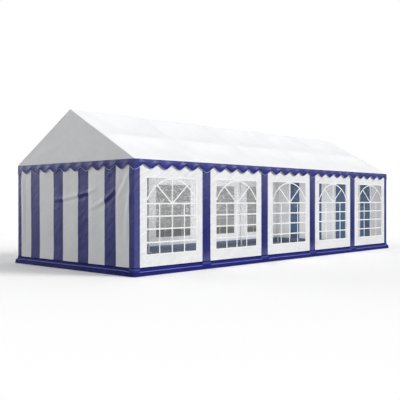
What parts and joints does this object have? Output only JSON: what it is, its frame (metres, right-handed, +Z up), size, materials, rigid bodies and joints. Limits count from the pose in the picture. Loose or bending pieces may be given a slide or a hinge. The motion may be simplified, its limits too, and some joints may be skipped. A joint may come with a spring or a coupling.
{
  "type": "party tent",
  "caption": "Gabled party tent with striped end walls, arched-lattice window walls, scalloped valance and steel tube frame.",
  "frame": {"origin": "on the ground in the middle of the tent", "axes": "+X along the ridge, +Y across the tent towards the back wall, +Z up"},
  "size_m": [10.1, 4.1, 3.32],
  "materials": {
    "white_sheet": "white PVC-coated woven sheet, satin",
    "blue_sheet": "deep blue PVC-coated woven sheet, satin",
    "window_film": "clear soft PVC window film, glossy and slightly rippled",
    "steel_tube": "hot-dip galvanised steel tube"
  },
  "bodies": {
    "root": {"front_leg_1": "steel_tube", "front_leg_2": "steel_tube", "front_leg_3": "steel_tube", "front_leg_4": "steel_tube", "front_leg_5": "steel_tube", "front_leg_6": "steel_tube", "back_leg_1": "steel_tube", "back_leg_2": "steel_tube", "back_leg_3": "steel_tube", "back_leg_4": "steel_tube", "back_leg_5": "steel_tube", "back_leg_6": "steel_tube", "rafter_pair_1": "steel_tube", "rafter_pair_2": "steel_tube", "rafter_pair_3": "steel_tube", "rafter_pair_4": "steel_tube", "rafter_pair_5": "steel_tube", "rafter_pair_6": "steel_tube", "ridge_purlin": "steel_tube", "front_mid_purlin": "steel_tube", "back_mid_purlin": "steel_tube", "front_eave_purlin": "steel_tube", "back_eave_purlin": "steel_tube", "left_gable_tie": "steel_tube", "right_gable_tie": "steel_tube", "roof_cover": "white_sheet", "left_gable_triangle": "white_sheet", "right_gable_triangle": "white_sheet", "front_wall": "white_sheet", "back_wall": "white_sheet", "left_gable_wall": "white_sheet", "right_gable_wall": "white_sheet", "front_valance": "blue_sheet", "back_valance": "blue_sheet", "left_valance": "blue_sheet", "right_valance": "blue_sheet", "front_base_roll": "blue_sheet", "back_base_roll": "blue_sheet", "left_base_roll": "blue_sheet", "right_base_roll": "blue_sheet", "front_window_film": "window_film", "back_window_film": "window_film"}
  },
  "joints": []
}
